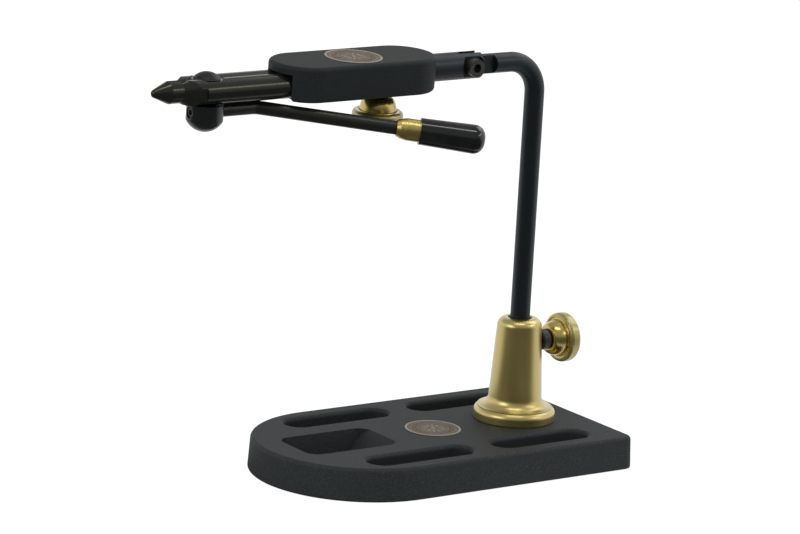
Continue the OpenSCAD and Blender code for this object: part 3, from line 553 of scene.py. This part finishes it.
def coil_spring(material):
    """The spring between the jaws' tails, a round wire wound across the head."""
    bm = bmesh.new()
    start = bmesh.ops.create_circle(bm, cap_ends=True, segments=10, radius=spring_wire_d / 2,
                                    matrix=Matrix.Translation((spring_mean_r, 0, -spring_span / 2))
                                    @ Matrix.Rotation(math.pi / 2, 4, "X"))
    face = start["verts"][0].link_faces[0]
    steps = spring_turns * spring_steps
    bmesh.ops.spin(bm, geom=[face, *face.edges, *face.verts], cent=(0, 0, 0), axis=(0, 0, 1),
                   dvec=(0, 0, spring_span / steps), angle=2 * math.pi * spring_turns, steps=steps)
    bm.transform(along_head(spring_s, spring_level) @ Matrix.Rotation(math.pi / 2, 4, "X"))
    piece(bm, "jaw_spring_coil", "housing", material, "jaw_spring", crease=60)


def lathe(bm, profile):
    """A closed solid turned from a profile of radius and height pairs that starts and ends on the axis."""
    verts = [bm.verts.new((r, 0, z)) for r, z in profile]
    edges = [bm.edges.new(pair) for pair in zip(verts, verts[1:])]
    bmesh.ops.spin(bm, geom=verts + edges, cent=(0, 0, 0), axis=(0, 0, 1), angle=2 * math.pi,
                   steps=medal_steps, use_merge=True)
    bmesh.ops.remove_doubles(bm, verts=bm.verts, dist=same_point)


def drops(bm, count, ring, size, turn=0.0):
    """A ring of rounded drops, each of a size along the radius, across it and up."""
    for i in range(count):
        place = (Matrix.Rotation(2 * math.pi * (i + turn) / count, 4, "Z")
                 @ Matrix.Translation((ring, 0, 0)) @ Matrix.Diagonal((*size, 1)))
        bmesh.ops.create_icosphere(bm, subdivisions=2, radius=1.0, matrix=place)


def medallion(name, body, place, material, node):
    """A struck plate: raised rim, a ring of beads, a fluted band and a rosette of petals with a boss."""
    r = medal_d / 2
    low = -(medal_t - medal_proud)
    inner = r - medal_rim
    soft = 0.12 * MM
    band_out = 0.86 * inner
    band_in = 0.60 * inner
    line = 0.22 * MM
    height = 0.14 * MM
    profile = [(0, low), (r - soft, low), (r, low + soft), (r, medal_proud - soft), (r - soft, medal_proud),
               (inner + soft, medal_proud), (inner, medal_proud - soft), (inner - soft / 2, 0)]
    for edge in (band_out, band_in):
        profile += [(edge + line, 0), (edge + line / 2, height), (edge - line / 2, height), (edge - line, 0)]
    profile.append((0, 0))
    bm = bmesh.new()
    lathe(bm, profile)
    bead_ring = (inner + band_out + line) / 2
    drops(bm, bead_count, bead_ring, (0.42 * MM, 0.42 * MM, 0.20 * MM))
    mid = (band_out + band_in) / 2
    drops(bm, flute_count, mid, ((band_out - band_in) / 2 - 1.8 * line, 0.17 * MM, 0.15 * MM))
    drops(bm, petal_count, 0.36 * inner, (0.19 * inner, 0.055 * inner, 0.20 * MM))
    drops(bm, petal_count, 0.47 * inner, (0.07 * inner, 0.035 * inner, 0.14 * MM), turn=0.5)
    drops(bm, 1, 0.0, (0.12 * inner, 0.12 * inner, 0.24 * MM))
    relief = bm.verts.layers.float.new("relief")
    for v in bm.verts:
        v[relief] = max(0.0, v.co.z) / medal_proud
    bm.transform(place)
    piece(bm, name, body, material, node, crease=35)


def base_medal_place():
    low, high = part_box("base_medallion")
    return Matrix.Translation(((low.x + high.x) / 2, (low.y + high.y) / 2, high.z - medal_proud))


def head_medal_place():
    middle = centre_of("head_medallion") + head_up * (medal_t / 2 - medal_proud)
    return Matrix.Translation(middle) @ HEAD.to_3x3().to_4x4()


def dress(material, *nodes):
    """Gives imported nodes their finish."""
    for name in nodes:
        mesh = frame["nodes"][name].data
        mesh.materials.clear()
        mesh.materials.append(material)


def dress_frame():
    across = Vector((1, 0, 0))
    cam = along_head(cam_s).translation
    # One coat in two lightnesses: the base's body is painted paler as painted bounce light off the floor,
    # and the head's body is painted darker as painted shade, further from the floor.
    base_coat_painted_floor_bounce = powder_coat("base_coat_painted_floor_bounce", 0.20, 0.50, (0.0160, 0.0188, 0.0194), (0.0214, 0.0244, 0.0252))
    head_coat_painted_shade = powder_coat("head_coat_painted_shade", 0.21, 0.14, (0.0085, 0.0110, 0.0106), (0.0125, 0.0155, 0.0152))
    dress(base_coat_painted_floor_bounce, "base_plate")
    dress(head_coat_painted_shade, "head_housing", "housing_cover")
    dress(pad_rubber(), "base_pad")
    dress(satin_gold(), "pedestal")
    for knob, axis in (("stem_clamp_knob", across), ("rotation_lock_knob", head_up)):
        dress(turned_brass(knob + "_brass", centre_of(knob), axis, 0.2, knob_rim), knob)
    dress(black_oxide("bush_oxide", HEAD.translation, head_back, 0.26, (1.0, 0.95, 0.88)), "shaft_bush")
    past = (centre_of("lever_grip") - centre_of("lever_ferrule")).normalized()
    dress(turned_brass("ferrule_brass", centre_of("lever_ferrule"), past, 0.30), "lever_ferrule")
    dress(satin_black("stem_satin", (0, 0, 0), (0, 0, 1)), "stem")
    dress(satin_black("shaft_satin", HEAD.translation, head_back), "head_shaft")
    jaw_oxide = black_oxide("jaw_oxide", HEAD.translation, head_back, 0.15, (0.98, 1.0, 0.74))
    dress(jaw_oxide, "near_jaw", "far_jaw")
    dress(black_oxide("cam_oxide", cam, head_up, 0.42, (1.0, 0.97, 0.92), 0.3), "cam_pin")
    dress(black_oxide("hub_oxide", cam, head_up, 0.20, (0.92, 0.98, 1.0)), "lever_hub")
    knuckle = Vector(joint("head_tilt")["axis"])
    dress(screw_black("knuckle_black", 36, HEAD.translation, knuckle), "knuckle_screw")
    dress(screw_black("plain_screw_black"), "stem_clamp_screw", "rotation_lock_screw", "hub_set_screw",
          "pedestal_bolt", "cover_screws")
    dress(nylon("nylon_black", (0.012, 0.012, 0.012), (0.022, 0.022, 0.022)), "stem_bush")
    natural = nylon("nylon_natural", (0.62, 0.58, 0.48), (0.72, 0.69, 0.60))
    dress(natural, "stem_clamp_tip", "rotation_lock_tip")
    dress(grip_vinyl(), "lever_grip")


make_camera()
make_world()
make_floor()
bpy.context.scene.view_settings.view_transform = "Standard"
soft_box("front_right_box", 313, 33, 1.5, 0.9, 0.18, 4.0)
soft_box("left_box", 183, 24, 1.5, 0.8, 0.6, 2.8)
soft_box("back_right_box", 8, 44, 1.6, 1.0, 0.8, 1.8)
soft_box("overhead_strip", 233, 77, 1.5, 1.1, 0.20, 6.0)
soft_box("top_box", 60, 72, 1.6, 1.1, 1.1, 0.5, False)

dress_frame()
steel = ground_steel()
dress(steel, "jaw_pivot_pins")
bronze = aged_bronze()
medallion("base_medallion_struck", "base", base_medal_place(), bronze, "base_medallion")
medallion("head_medallion_struck", "housing", head_medal_place(), bronze, "head_medallion")
hub = along_head(cam_s, lever_level).translation
bent_lever(black_oxide("lever_oxide", hub, head_back, 0.30, (1.0, 0.94, 0.78)))
coil_spring(steel)
